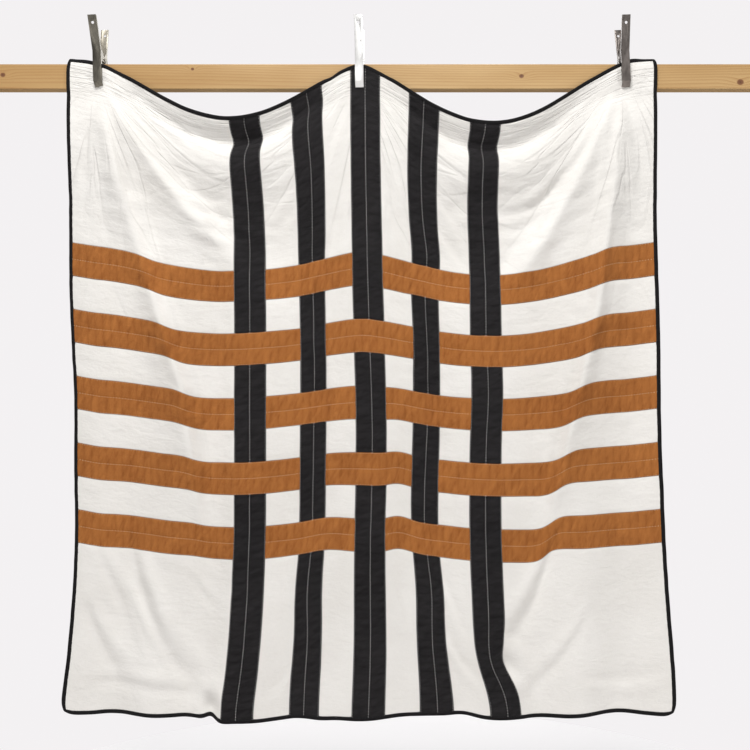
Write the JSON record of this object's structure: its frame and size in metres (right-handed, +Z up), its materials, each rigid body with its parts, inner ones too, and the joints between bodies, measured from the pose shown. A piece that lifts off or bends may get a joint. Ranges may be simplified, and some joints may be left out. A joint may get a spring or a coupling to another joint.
{
  "type": "quilt on a rail",
  "caption": "Square bound quilt with interlaced dark and tan strips, gripped at its top edge to a plain softwood rail by steel spring clamps.",
  "frame": {"origin": "middle of the rail's underside", "axes": "+X along the rail to the viewer's right, +Z up, the quilt hangs on the -Y side"},
  "size_m": [3.05, 0.1321, 2.5244],
  "materials": {
    "pine": "planed softwood board, unfinished",
    "white_cotton": "plain woven cotton, quilted in rows",
    "batting": "bonded cotton wadding",
    "black_cotton": "plain woven cotton",
    "tan_cotton": "plain woven cotton",
    "black_binding": "folded cotton tape",
    "plated_steel": "pressed sheet, dull nickel plate",
    "spring_steel": "hard drawn wire"
  },
  "bodies": {
    "rack": {"rail": "pine", "quilt_backing": "white_cotton", "quilt_batting": "batting", "quilt_top": "white_cotton", "black_strip_1": "black_cotton", "black_strip_2": "black_cotton", "black_strip_3": "black_cotton", "black_strip_4": "black_cotton", "black_strip_5": "black_cotton", "tan_strip_1": "tan_cotton", "tan_strip_2": "tan_cotton", "tan_strip_3": "tan_cotton", "tan_strip_4": "tan_cotton", "tan_strip_5": "tan_cotton", "binding_top": "black_binding", "binding_bottom": "black_binding", "binding_left": "black_binding", "binding_right": "black_binding"},
    "clamp_left_front": {"clamp_left_front_arm": "plated_steel", "clamp_left_rivet": "plated_steel", "clamp_left_spring": "spring_steel"},
    "clamp_left_rear": {"clamp_left_rear_arm": "plated_steel"},
    "clamp_middle_front": {"clamp_middle_front_arm": "plated_steel", "clamp_middle_rivet": "plated_steel", "clamp_middle_spring": "spring_steel"},
    "clamp_middle_rear": {"clamp_middle_rear_arm": "plated_steel"},
    "clamp_right_front": {"clamp_right_front_arm": "plated_steel", "clamp_right_rivet": "plated_steel", "clamp_right_spring": "spring_steel"},
    "clamp_right_rear": {"clamp_right_rear_arm": "plated_steel"}
  },
  "joints": [
    {"name": "clamp_left_open", "type": "hinge", "parent": "rack", "child": "clamp_left_front", "pos_m": [-0.95618, -0.00285, 0.109], "axis": [-0.9988, 0, -0.0489], "range_deg": [0, 14]},
    {"name": "clamp_left_spread", "type": "hinge", "parent": "clamp_left_front", "child": "clamp_left_rear", "pos_m": [-0.95618, -0.00285, 0.109], "axis": [0.9988, 0, 0.0489], "range_deg": [0, 28], "stiffness_Nm_per_rad": 3, "springref_deg": -57.3, "deforming": ["clamp_left_spring"]},
    {"name": "clamp_middle_open", "type": "hinge", "parent": "rack", "child": "clamp_middle_front", "pos_m": [-0.02111, -0.00285, 0.109], "axis": [-0.9999, 0, -0.0105], "range_deg": [0, 14]},
    {"name": "clamp_middle_spread", "type": "hinge", "parent": "clamp_middle_front", "child": "clamp_middle_rear", "pos_m": [-0.02111, -0.00285, 0.109], "axis": [0.9999, 0, 0.0105], "range_deg": [0, 28], "stiffness_Nm_per_rad": 3, "springref_deg": -57.3, "deforming": ["clamp_middle_spring"]},
    {"name": "clamp_right_open", "type": "hinge", "parent": "rack", "child": "clamp_right_front", "pos_m": [0.92849, -0.00285, 0.109], "axis": [-0.9995, 0, -0.0332], "range_deg": [0, 14]},
    {"name": "clamp_right_spread", "type": "hinge", "parent": "clamp_right_front", "child": "clamp_right_rear", "pos_m": [0.92849, -0.00285, 0.109], "axis": [0.9995, 0, 0.0332], "range_deg": [0, 28], "stiffness_Nm_per_rad": 3, "springref_deg": -57.3, "deforming": ["clamp_right_spring"]}
  ],
  "couplings": [
    {"joint": "clamp_left_spread", "follows": "clamp_left_open", "ratio": 2},
    {"joint": "clamp_middle_spread", "follows": "clamp_middle_open", "ratio": 2},
    {"joint": "clamp_right_spread", "follows": "clamp_right_open", "ratio": 2}
  ]
}
